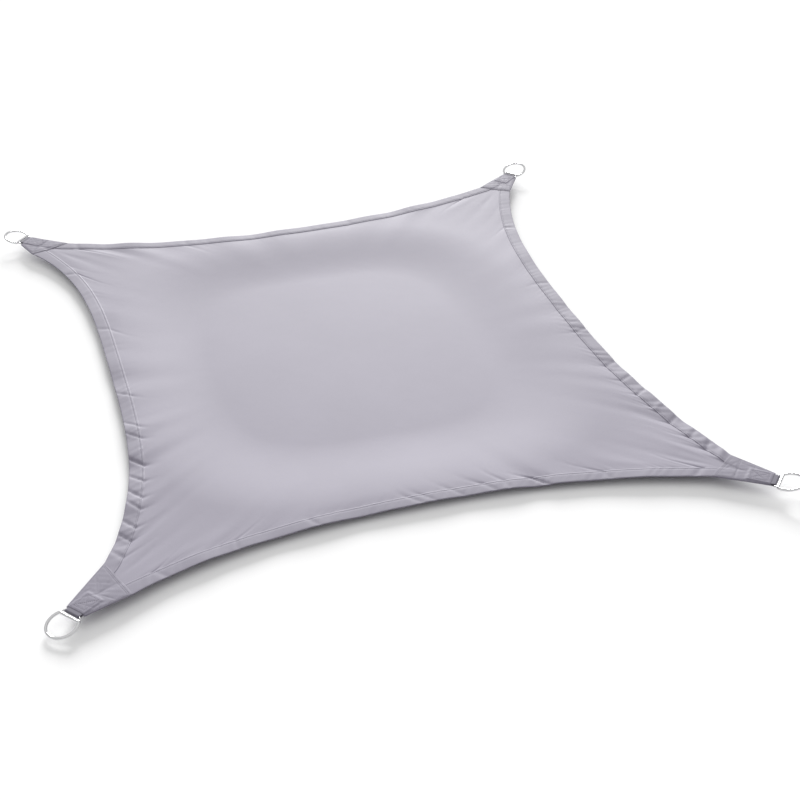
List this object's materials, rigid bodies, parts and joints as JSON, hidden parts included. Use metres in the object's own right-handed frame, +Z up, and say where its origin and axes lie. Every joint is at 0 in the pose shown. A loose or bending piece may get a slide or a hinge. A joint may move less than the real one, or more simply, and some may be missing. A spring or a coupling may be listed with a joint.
{
  "type": "shade sail",
  "caption": "Rectangular shade sail: a grey cloth panel with inward-curved hemmed sides, reinforced corners and steel D-rings for lashing to posts or walls.",
  "frame": {"origin": "on the surface the sail lies on, under the middle of its box", "axes": "+X to the right along the shorter side, +Y from the near side to the back along the longer side, +Z up off the surface"},
  "size_m": [1.9526, 2.2522, 0.0559],
  "materials": {
    "sail_cloth": "matt woven coated polyester, mauve grey",
    "patch_cloth": "matt woven coated polyester, doubled and stitched",
    "webbing": "ribbed flat webbing",
    "ring_steel": "polished stainless steel"
  },
  "bodies": {
    "root": {"sail_panel": "sail_cloth", "corner_patch_near_left": "patch_cloth", "corner_loop_near_left": "webbing", "ring_near_left": "ring_steel", "corner_patch_near_right": "patch_cloth", "corner_loop_near_right": "webbing", "ring_near_right": "ring_steel", "corner_patch_back_right": "patch_cloth", "corner_loop_back_right": "webbing", "ring_back_right": "ring_steel", "corner_patch_back_left": "patch_cloth", "corner_loop_back_left": "webbing", "ring_back_left": "ring_steel"}
  },
  "joints": []
}
